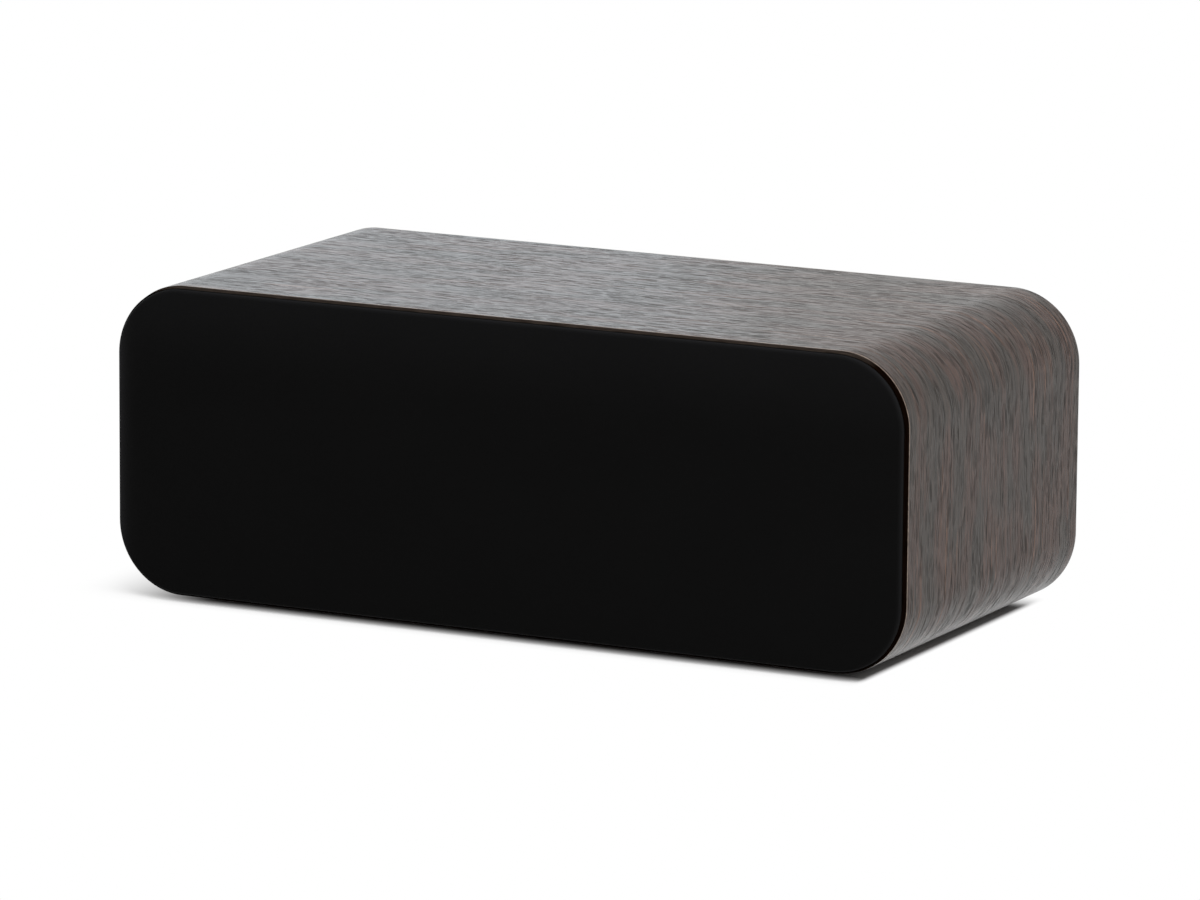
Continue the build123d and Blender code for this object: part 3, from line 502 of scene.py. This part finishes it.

# %% [markdown]
# Black knitted cloth is stretched over the grille frame, folded round its edge and glued down behind. A
# stretched cloth has no folds, so it is built directly: the front is filled with upright strips, and a
# profile carries it round the edge to the hem. The UV map unrolls that profile, so the knit runs over the
# edge without a break. Its colour carries painted light: it is paler over the edge and towards the top, and
# paler still in a painted sheen along the left edge.

# %% Acoustic cloth
def cloth_finish():
    cloth = Finish("acoustic_cloth")
    weave = cloth.own_uv("weave")
    stitch = 0.9 * mm
    turns = {0: weave, "Scale": 2 * pi / stitch}
    thread = cloth.node("ShaderNodeVectorMath", {"operation": "SCALE"}, turns)
    columns = cloth.node("ShaderNodeSeparateXYZ", None, {0: thread}, out="X")
    across = cloth.node("ShaderNodeMath", {"operation": "SINE"}, {0: columns})
    rows = cloth.node("ShaderNodeSeparateXYZ", None, {0: thread}, out="Y")
    down = cloth.node("ShaderNodeMath", {"operation": "SINE"}, {0: rows})
    knit = across * down * 0.5 + 0.5
    fuzz = cloth.noise(weave, (0.5 * mm, 0.5 * mm, 1), detail=2)
    stretch = cloth.noise(weave, (60 * mm, 45 * mm, 1), detail=2)
    tone = knit * 0.55 + fuzz * 0.3 + stretch * 0.15
    colour = cloth.mix(tone, (0.0012, 0.0012, 0.0013), (0.0062, 0.0061, 0.0060))
    edge = cloth.node("ShaderNodeAttribute", {"attribute_name": "edge"}, out="Fac")
    high = cloth.node("ShaderNodeSeparateXYZ", None, {0: weave}, out="Y")
    side = cloth.node("ShaderNodeSeparateXYZ", None, {0: weave}, out="X")
    # painted light: the knit is paler over the edge and towards the top
    painted_edge_and_top_light = edge.math("POWER", edge, 6.0) * 0.7 + cloth.spread(high, 30 * mm, 80 * mm) * 0.2
    colour = cloth.mix(painted_edge_and_top_light, colour, cloth.mix(tone, (0.0060, 0.0060, 0.0064), (0.0200, 0.0200, 0.0215)))
    # painted sheen: the knit is paler along the left edge, halving every 1.8 mm inwards
    cloth_reach, halving = 214 * mm, 1.8 * mm
    painted_left_sheen = side.math("POWER", 0.5, (side + cloth_reach) * (1 / halving))
    colour = cloth.mix(painted_left_sheen, colour, cloth.mix(tone, (0.0095, 0.0095, 0.0100), (0.0310, 0.0310, 0.0330)))
    return cloth.surface(
        Base_Color=colour,
        Roughness=0.85 + fuzz * 0.1,
        Specular_IOR_Level=0.02,
        Sheen_Weight=0.08,
        Sheen_Roughness=0.3,
        Normal=cloth.bump(knit + fuzz * 0.5, 0.35, 0.15 * mm),
    )


def grille_cover(finish):
    low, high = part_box("grille_cloth")
    across, tall = (high.x - low.x) / 2, (high.z - low.z) / 2
    shoulder, hem, turn, thickness = 2 * mm, 7 * mm, 0.6 * mm, 0.8 * mm
    outline = rounded_outline(across, tall, corner_radius - (half_width - across))
    quarter = [step * pi / 24 for step in range(13)]
    profile = [(shoulder + 2 * mm, low.y)]
    profile += [(shoulder * (1 - sin(a)), low.y + shoulder * (1 - cos(a))) for a in quarter]
    profile += [(0, high.y - turn), (0.18 * mm, high.y - 0.18 * mm), (turn, high.y)]
    profile += [(2 * turn, high.y), (hem, high.y)]
    run = [-profile[0][0]]
    for first, second in zip(profile, profile[1:]):
        run.append(run[-1] + (Vector(second) - Vector(first)).length)
    rows, columns = len(profile), len(outline)
    vertices, weave, edge = [], [], []
    for x, z, nx, nz, way in outline:
        for (inset, y), reach in zip(profile, run):
            vertices.append((x - nx * inset, y, middle_z + z - nz * inset))
            weave.append((x + nx * reach, z + nz * reach))
            edge.append(1 - min(inset / profile[0][0], 1))
    faces = []
    for i in range(columns):
        j = (i + 1) % columns
        faces += [(i * rows + a, i * rows + a + 1, j * rows + a + 1, j * rows + a) for a in range(rows - 1)]
    half = columns // 2
    for i in range(-half // 2 + 1, half // 2):
        strip = (i, i + 1, half - i - 1, half - i)
        faces.append(tuple(column % columns * rows for column in strip))
    cover = new_piece("grille_cover", vertices, faces, [finish])
    lay_uv(cover, "weave", [weave[corner.vertex_index] for corner in cover.data.loops])
    cover.data.attributes.new("edge", "FLOAT", "POINT").data.foreach_set("value", edge)
    thicken = cover.modifiers.new("thickness", "SOLIDIFY")
    thicken.thickness = thickness
    thicken.offset = -1
    return cover, (2 * (across + run[-1]), 2 * (tall + run[-1]))


acoustic_cloth = cloth_finish()
cover, cut_size = grille_cover(acoustic_cloth)
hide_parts("grille_cloth")
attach(cover, "grille")
print("cloth cut to", [round(side, 4) for side in cut_size], "m")

# %% [markdown]
# Two general finishes serve most of what is left. One has a fine grain, under a slow cloud that keeps large
# faces from looking even. The other is woven: two waves that cross, with stains. The rubber of the woofers'
# surrounds and the stiff cloth of their spiders are the first of each.

# %% Grained and woven finishes
def fine_grain(name, dark, light, size, rough=(0.45, 0.6), relief=0.15, depth=0.1 * mm, **constant):
    """Finish with a fine grain, of one size or one per axis, and a slow cloud in colour and gloss."""
    made = Finish(name)
    place = made.object_place()
    grain = made.noise(place, size if isinstance(size, tuple) else (size, size, size), detail=3)
    cloud = made.noise(place, (30 * mm, 30 * mm, 30 * mm), detail=2)
    tone = made.spread(grain * 0.7 + cloud * 0.3, 0.32, 0.68)
    return made.surface(
        Base_Color=made.mix(tone, dark, light),
        Roughness=rough[0] + grain * (rough[1] - rough[0]),
        Normal=made.bump(grain, relief, depth),
        **constant,
    )


def woven(name, dark, light, pitch, rough=(0.7, 0.9), **constant):
    """Finish of threads that cross along X and Z, with stains."""
    made = Finish(name)
    place = made.object_place()
    waves = {"Vector": place, "Scale": pi / (10 * pitch)}
    upright = made.node("ShaderNodeTexWave", {"bands_direction": "X"}, waves, out="Fac")
    level = made.node("ShaderNodeTexWave", {"bands_direction": "Z"}, waves, out="Fac")
    stain = made.noise(place, (9 * mm, 9 * mm, 9 * mm))
    weave = upright * 0.5 + level * 0.5
    return made.surface(
        Base_Color=made.mix(made.spread(weave * 0.6 + stain * 0.4, 0.3, 0.7), dark, light),
        Roughness=rough[0] + stain * (rough[1] - rough[0]),
        Normal=made.bump(weave, 0.3, 0.1 * mm),
        **constant,
    )


soft_rubber = fine_grain(
    "soft_rubber", (0.010, 0.010, 0.010), (0.020, 0.020, 0.020), 0.6 * mm, (0.42, 0.55), 0.08
)
spider_cloth = woven("spider_cloth", (0.30, 0.19, 0.07), (0.55, 0.38, 0.16), 0.7 * mm)
print("first of each:", soft_rubber.name, "and", spider_cloth.name)

# %% [markdown]
# Behind the grille two woofers hang in half-roll surrounds of black rubber, and a corrugated ring of stiff
# cloth, the spider, centres each coil. Both give way when the cone moves. They are turned from a profile as
# on a lathe, with rows of points along the part that bends.

# %% Turned rings
def turned(name, profile, centre_x, finish, segments=96):
    """Closed ring from (radius, depth behind the baffle's face), turned about a driver's axis."""
    vertices, faces = [], []
    rows = len(profile)
    for step in range(segments):
        angle = 2 * pi * step / segments
        vertices += [
            (centre_x + r * cos(angle), baffle_y + d, middle_z + r * sin(angle)) for r, d in profile
        ]
        following = (step + 1) % segments
        for a in range(rows):
            b = (a + 1) % rows
            faces.append((step * rows + a, step * rows + b, following * rows + b, following * rows + a))
    ring = new_piece(name, vertices, faces, [finish])
    turn_outwards(ring)
    return ring


def surround_profile():
    """Section of a half-roll surround, drawn in millimetres."""
    roll_middle, outer, inner, level = 43.1, 2.7, 1.9, -0.4
    leg_inside, leg_outside, cone_depth = 40.4, 41.2, 4.2
    half_turn = [t * pi / 24 for t in range(25)]
    leg = [level + (cone_depth - level) * step / 6 for step in range(1, 7)]
    points = [(leg_inside, d) for d in reversed(leg)]
    points += [(roll_middle - outer * cos(a), level - outer * sin(a)) for a in half_turn[:-1]]
    points += [(46.2, -0.8), (49.2, -0.8), (49.4, -0.6), (49.4, 0), (45, 0)]
    points += [(roll_middle + inner * cos(a), level - inner * sin(a)) for a in half_turn]
    points += [(leg_outside, d) for d in leg]
    points += [(leg_outside, 5), (38.6, 5), (38.6, cone_depth)]
    return [(r * mm, d * mm) for r, d in points]


def spider_profile():
    """Section of a corrugated spider, drawn in millimetres."""
    thickness, rim, outer, inner = 0.6, 34.6, 31.8, 13.1
    depth, drop, wave = 28.4, 5, 0.8
    front = [(rim, depth)]
    for step in range(49):
        share = step / 48
        front.append((outer + (inner - outer) * share, depth - drop * share - wave * sin(3 * pi * share)))
    back = [(r, d + thickness) for r, d in reversed(front)]
    return [(r * mm, d * mm) for r, d in front + back]


woofer_x = {"left": -128 * mm, "right": 128 * mm}
for side, x in woofer_x.items():
    roll = turned(f"woofer_{side}_half_roll", surround_profile(), x, soft_rubber)
    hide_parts(f"woofer_{side}_surround")
    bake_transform(roll)
    ring = turned(f"woofer_{side}_centring_ring", spider_profile(), x, spider_cloth)
    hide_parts(f"woofer_{side}_spider")
    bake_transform(ring)
    print(side, "woofer: roll of", len(roll.data.polygons), "and ring of", len(ring.data.polygons), "faces")

# %% [markdown]
# Screws and feet repeat, so they are Geometry Nodes: one tree builds the shape from named sizes, puts a
# copy on every place, turns each copy by its own chance angle, as a real hand leaves a screw, and realizes
# the copies. The result is read off as a plain mesh, because a frame keeps no modifiers of this kind.

# %% Repeated pieces by Geometry Nodes
class Recipe(Network):
    """Geometry Nodes tree whose sizes are named inputs of the modifier."""

    def __init__(self, name):
        self.tree = bpy.data.node_groups.new(name, "GeometryNodeTree")
        self.tree.interface.new_socket("Mesh", in_out="OUTPUT", socket_type="NodeSocketGeometry")
        self.entry = self.tree.nodes.new("NodeGroupInput")
        self.exit = self.tree.nodes.new("NodeGroupOutput")
        self.values = {}
        self.places = self.size("Places", None, "NodeSocketGeometry")

    def size(self, name, value, kind="NodeSocketFloat"):
        """Named input with the value that the modifier gets."""
        socket = self.tree.interface.new_socket(name, in_out="INPUT", socket_type=kind)
        if value is not None:
            self.values[socket.identifier] = value
        return Number(self, self.entry.outputs[name])

    def moved(self, mesh, z, turn=0.0):
        offset = self.node("ShaderNodeCombineXYZ", None, {"Z": z})
        inputs = {"Geometry": mesh, "Translation": offset, "Rotation": (0, 0, turn)}
        return self.node("GeometryNodeTransform", None, inputs)

    def cone(self, low, high, depth, sides=32):
        inputs = {"Vertices": sides, "Radius Top": high, "Radius Bottom": low, "Depth": depth}
        return self.node("GeometryNodeMeshCone", None, inputs, out="Mesh")

    def joined(self, *meshes):
        return self.node("GeometryNodeMeshBoolean", {"operation": "UNION"}, {"Mesh 2": list(meshes)})

    def without(self, mesh, *cutters):
        inputs = {"Mesh 1": mesh, "Mesh 2": list(cutters)}
        return self.node("GeometryNodeMeshBoolean", {"operation": "DIFFERENCE"}, inputs)

    def make(self, name, shape, places, finish, facing=(0, 0, 0), seed=1):
        """Piece with a copy of shape on every place, each turned about its own axis by chance."""
        facing = self.size("Facing", facing, "NodeSocketRotation")
        seed = self.size("Seed", seed, "NodeSocketInt")
        finish = self.size("Finish", finish, "NodeSocketMaterial")
        copies = {"Points": self.places, "Instance": shape, "Rotation": facing}
        copies = self.node("GeometryNodeInstanceOnPoints", None, copies)
        chance = {2: 0.0, 3: pi, "Seed": seed}
        spin = self.node("FunctionNodeRandomValue", {"data_type": "FLOAT"}, chance, out=1)
        spin = self.node("ShaderNodeCombineXYZ", None, {"Z": spin})
        spun = self.node("GeometryNodeRotateInstances", None, {"Instances": copies, "Rotation": spin})
        solid = self.node("GeometryNodeRealizeInstances", None, {"Geometry": spun})
        dressed = self.node("GeometryNodeSetMaterial", None, {"Geometry": solid, "Material": finish})
        self.tree.links.new(dressed.socket, self.exit.inputs["Mesh"])
        points = bpy.data.meshes.new(name)
        points.from_pydata(places, [], [])
        host = bpy.data.objects.new(name + "_places", points)
        bpy.context.scene.collection.objects.link(host)
        modifier = host.modifiers.new("recipe", "NODES")
        modifier.node_group = self.tree
        for identifier, value in self.values.items():
            modifier[identifier] = value
        depsgraph = bpy.context.evaluated_depsgraph_get()
        mesh = bpy.data.meshes.new_from_object(host.evaluated_get(depsgraph))
        bpy.data.objects.remove(host)
        mesh.shade_smooth()
        mesh.set_sharp_from_angle(angle=35 * pi / 180)
        piece = bpy.data.objects.new(name, mesh)
        bpy.context.scene.collection.objects.link(piece)
        return piece


print("recipes are ready for screws and feet")

# %% [markdown]
# A countersunk screw is a cone for the head and a long, pointed one for the shank, and two bars cut the
# cross in its head. The screws stand on circles round the drivers and at the corners of the terminal cup.

# %% Screws
def screw_set(name, places, facing, seed, finish):
    recipe = Recipe("countersunk_screw")
    head = recipe.size("Head Radius", 3.1 * mm)
    shank = recipe.size("Shank Radius", 1.6 * mm)
    rise = recipe.size("Head Height", 1.5 * mm)
    length = recipe.size("Shank Length", 12.3 * mm)
    slot_length = recipe.size("Slot Length", 3.3 * mm)
    slot_width = recipe.size("Slot Width", 0.8 * mm)
    slot_depth = recipe.size("Slot Depth", 1.1 * mm)
    body = recipe.joined(
        recipe.moved(recipe.cone(shank, head, rise), rise * -1),
        recipe.moved(recipe.cone(0.2 * mm, shank, length), rise * -0.9 - length),
    )
    slot_size = {"X": slot_length, "Y": slot_width, "Z": slot_depth * 2}
    bar = recipe.node("ShaderNodeCombineXYZ", None, slot_size)
    bar = recipe.node("GeometryNodeMeshCube", None, {"Size": bar}, out="Mesh")
    cut = recipe.without(body, bar, recipe.moved(bar, 0.0, pi / 2))
    return recipe.make(name, cut, places, finish, facing, seed)


def round_places(radius, count, start, x=0.0):
    """Screw places on a circle round a driver's centre, on the baffle's face."""
    angles = [(start + 360 * i / count) * pi / 180 for i in range(count)]
    return [(x + radius * cos(a), baffle_y, middle_z + radius * sin(a)) for a in angles]


black_oxide = fine_grain(
    "black_oxide", (0.012, 0.012, 0.013), (0.030, 0.030, 0.032), 0.4 * mm, (0.32, 0.48), 0.05, Metallic=0.85
)
to_front, to_rear = (pi / 2, 0, 0), (-pi / 2, 0, 0)
cup_flange_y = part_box("terminal_cup")[1].y
cup_x, cup_across, cup_tall = 128 * mm, 38.5 * mm, 27.5 * mm
cup_places = [
    (cup_x + i * cup_across, cup_flange_y, middle_z + k * cup_tall) for i in (-1, 1) for k in (-1, 1)
]
woofer_circle, tweeter_circle = 54.55 * mm, 43.5 * mm
woofer_places = [place for x in woofer_x.values() for place in round_places(woofer_circle, 4, 45, x)]
screw_sets = {
    "woofer_screws": (woofer_places, to_front, 3),
    "tweeter_screws": (round_places(tweeter_circle, 3, 90), to_front, 5),
    "terminal_screws": (cup_places, to_rear, 7),
}
for node, (places, facing, seed) in screw_sets.items():
    screws = screw_set(node + "_crosshead", places, facing, seed, black_oxide)
    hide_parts(node)
    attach(screws, "cabinet")
    print(screws.name, len(places), "screws,", len(screws.data.polygons), "faces")

# %% [markdown]
# A rubber foot is a short cylinder with a bevelled rim and a hollow in its sole. The four of them stand in
# the corners of the box that the frame gives for the feet.

# %% Feet
foot_radius = 8 * mm


def foot_set(name, places, finish):
    recipe = Recipe("rubber_foot")
    radius = recipe.size("Radius", foot_radius)
    height = recipe.size("Height", 3 * mm)
    bevel = recipe.size("Bevel", 0.8 * mm)
    hollow = recipe.size("Hollow Radius", 3.2 * mm)
    depth = recipe.size("Hollow Depth", 1.2 * mm)
    body = recipe.joined(
        recipe.cone(radius - bevel, radius, bevel, 48),
        recipe.moved(recipe.cone(radius, radius, height - bevel, 48), bevel),
    )
    cut = recipe.without(body, recipe.moved(recipe.cone(hollow, hollow, depth * 2, 32), depth * -1))
    return recipe.make(name, cut, places, finish)


feet_low, feet_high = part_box("rubber_feet")
foot_places = [
    (x, y, 0)
    for x in (feet_low.x + foot_radius, feet_high.x - foot_radius)
    for y in (feet_low.y + foot_radius, feet_high.y - foot_radius)
]
feet = foot_set("feet", foot_places, soft_rubber)
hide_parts("rubber_feet")
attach(feet, "cabinet")
print("feet:", len(feet.data.polygons), "faces")

# %% [markdown]
# Pads of convoluted foam line the two ends of the box. Such foam is cut with a wavy blade, so that one face
# is rows of rounded pegs. A grid of points follows that rule: the inner face is a product of two cosines
# that dies away towards the rim, and the outer face hugs the rounded wall.

# %% Damping foam
def foam_finish():
    foam = Finish("open_cell_foam")
    place = foam.object_place()
    small = foam.node("ShaderNodeVectorMath", {"operation": "SCALE"}, {0: place, "Scale": 1 / (1.3 * mm)})
    cells = foam.node("ShaderNodeTexVoronoi", None, {"Vector": small, "Scale": 1.0}, out="Distance")
    dust = foam.noise(place, (14 * mm, 14 * mm, 14 * mm))
    tone = foam.spread(cells * 0.7 + dust * 0.5, 0.25, 0.85)
    colour = foam.mix(tone, (0.018, 0.018, 0.020), (0.14, 0.14, 0.15))
    relief = foam.bump(cells, 0.6, 0.6 * mm)
    return foam.surface(Base_Color=colour, Roughness=0.85 + dust * 0.15, Normal=relief)


def foam_pad(name, node, finish):
    low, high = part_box(node)
    side = 1 if low.x > 0 else -1
    inner = min(abs(low.x), abs(high.x))
    outer = max(abs(low.x), abs(high.x))
    reach = (high.z - low.z) / 2
    round_off = 20.8 * mm
    peg, peg_depth, backing, thinnest = 25 * mm, 9 * mm, 3 * mm, 0.4 * mm
    columns, rows, rim_rows = 72, 60, 4
    vertices = []
    for face in range(2):
        for i in range(columns + 1):
            y = low.y + (high.y - low.y) * i / columns
            for k in range(rows + 1):
                z = reach * (2 * k / rows - 1)
                past = max(abs(z) - (reach - round_off), 0)
                wall_x = max(outer - round_off + (round_off**2 - past**2) ** 0.5, inner + thinnest)
                rim = min(i, columns - i, k, rows - k)
                wave = 0.5 - 0.5 * cos(2 * pi * (y - low.y) / peg) * cos(2 * pi * (z + reach) / peg)
                depth = min(peg_depth * wave * min(rim / rim_rows, 1), max(wall_x - inner - backing, 0))
                x = wall_x if face else inner + depth
                vertices.append((side * x, y, middle_z + z))
    layer = (columns + 1) * (rows + 1)
    quads = []
    for i in range(columns):
        for k in range(rows):
            a = i * (rows + 1) + k
            quads.append((a, a + 1, a + rows + 2, a + rows + 1))
    faces = quads + [tuple(corner + layer for corner in reversed(quad)) for quad in quads]
    rim = [i * (rows + 1) for i in range(columns)] + [columns * (rows + 1) + k for k in range(rows)]
    rim += [i * (rows + 1) + rows for i in range(columns, 0, -1)] + list(range(rows, 0, -1))
    faces += [(a, b, b + layer, a + layer) for a, b in zip(rim, rim[1:] + rim[:1])]
    pad = new_piece(name, vertices, faces, [finish], smooth_below=60)
    turn_outwards(pad)
    return pad


foam = foam_finish()
for side in ("left", "right"):
    pad = foam_pad(f"foam_{side}", f"damping_pad_{side}", foam)
    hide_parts(f"damping_pad_{side}")
    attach(pad, "cabinet")
    print(pad.name, len(pad.data.polygons), "faces")

# %% [markdown]
# Everything else keeps its solid from the frame and only needs a finish: paint, moulded plastic, plated and
# cast metal, wound wire, paper pulp. Each imported solid already carries the name of its slot, so one table
# from slot to finish dresses them all. Wire and turned metal get a grain that is short along the axis and
# long round it; the cones' fibres run outwards from each woofer's axis.

# %% Finishes for the solids
def cone_finish():
    paper = Finish("cone_paper")
    place = paper.node("ShaderNodeVectorMath", {"operation": "ABSOLUTE"}, {0: paper.object_place()})
    centre = (abs(woofer_x["left"]), 0, middle_z)
    offset = paper.node("ShaderNodeVectorMath", {"operation": "SUBTRACT"}, {0: place, 1: centre})
    offset = paper.node("ShaderNodeVectorMath", {"operation": "MULTIPLY"}, {0: offset, 1: (1, 0, 1)})
    radius = paper.node("ShaderNodeVectorMath", {"operation": "LENGTH"}, {0: offset}, out="Value")
    ray = paper.node("ShaderNodeVectorMath", {"operation": "NORMALIZE"}, {0: offset})
    run = paper.node("ShaderNodeCombineXYZ", None, {"Y": radius})
    ray = paper.node("ShaderNodeVectorMath", {"operation": "ADD"}, {0: ray, 1: run})
    fibres = paper.noise(ray, (0.05, 6 * mm, 0.05), detail=4, roughness=0.7)
    pulp = paper.noise(place, (1.2 * mm, 1.2 * mm, 1.2 * mm), detail=3)
    tone = paper.spread(fibres * 0.6 + pulp * 0.4, 0.33, 0.67)
    return paper.surface(
        Base_Color=paper.mix(tone, (0.012, 0.012, 0.012), (0.045, 0.044, 0.042)),
        Roughness=0.62 + pulp * 0.2,
        Normal=paper.bump(fibres + pulp, 0.25, 0.15 * mm),
    )


round_y = (20 * mm, 0.35 * mm, 20 * mm)
lathe_y = (12 * mm, 0.12 * mm, 12 * mm)
wound_x = (30 * mm, 0.6 * mm, 0.6 * mm)
finishes = {
    "raw_board": raw_board,
    "rubber": soft_rubber,
    "cone_paper": cone_finish(),
    "black_board": fine_grain(
        "black_paint", (0.009, 0.009, 0.009), (0.022, 0.022, 0.022), 0.8 * mm, (0.5, 0.66), 0.2
    ),
    "black_plastic": fine_grain(
        "black_plastic", (0.010, 0.010, 0.011), (0.022, 0.022, 0.023), 0.4 * mm, (0.36, 0.5)
    ),
    "red_knob": fine_grain(
        "red_plastic", (0.26, 0.006, 0.007), (0.42, 0.014, 0.012), 0.5 * mm, (0.26, 0.38), 0.06
    ),
    "black_knob": fine_grain(
        "dark_plastic", (0.008, 0.008, 0.008), (0.018, 0.018, 0.018), 0.5 * mm, (0.26, 0.38), 0.06
    ),
    "white_nylon": fine_grain("white_nylon", (0.60, 0.59, 0.54), (0.76, 0.75, 0.70), 0.6 * mm),
    "ceramic": fine_grain(
        "white_ceramic", (0.54, 0.52, 0.47), (0.70, 0.68, 0.62), 0.5 * mm, (0.7, 0.85), 0.3
    ),
    "capacitor_film": fine_grain(
        "wound_film", (0.30, 0.16, 0.02), (0.52, 0.32, 0.06), wound_x, (0.3, 0.42)
    ),
    "ferrite": fine_grain(
        "ferrite", (0.035, 0.035, 0.036), (0.075, 0.075, 0.076), 0.7 * mm, (0.55, 0.75), 0.3
    ),
    "cast_basket": fine_grain(
        "cast_metal", (0.030, 0.031, 0.032), (0.070, 0.071, 0.073), 0.9 * mm, (0.42, 0.58), 0.3,
        Metallic=0.6,
    ),
    "plated_magnet": fine_grain(
        "nickel_plate", (0.52, 0.50, 0.46), (0.70, 0.68, 0.64), 2 * mm, (0.18, 0.30), 0.02, Metallic=1.0
    ),
    "zinc_steel": fine_grain(
        "zinc_plate", (0.44, 0.44, 0.41), (0.64, 0.63, 0.58), 3 * mm, (0.30, 0.46), 0.05, Metallic=1.0
    ),
    "gold_plate": fine_grain(
        "gold_plate", (0.70, 0.47, 0.16), (0.92, 0.70, 0.31), lathe_y, (0.16, 0.30), 0.10, Metallic=1.0
    ),
    "copper": fine_grain(
        "wound_copper", (0.38, 0.13, 0.05), (0.78, 0.37, 0.19), round_y, (0.26, 0.42), 0.5, Metallic=1.0
    ),
    "circuit_board": woven(
        "circuit_board", (0.018, 0.085, 0.036), (0.046, 0.165, 0.078), 0.6 * mm, (0.35, 0.5)
    ),
    "dome_fabric": woven(
        "dome_silk", (0.014, 0.013, 0.012), (0.040, 0.037, 0.034), 0.35 * mm, (0.45, 0.6)
    ),
}
dressed = 0
for solid in nodes.values():
    slots = solid.data.materials
    for index, slot in enumerate(slots):
        if slot.name in finishes:
            slots[index] = finishes[slot.name]
            dressed += 1
print("dressed", dressed, "solids with", len(finishes), "finishes")
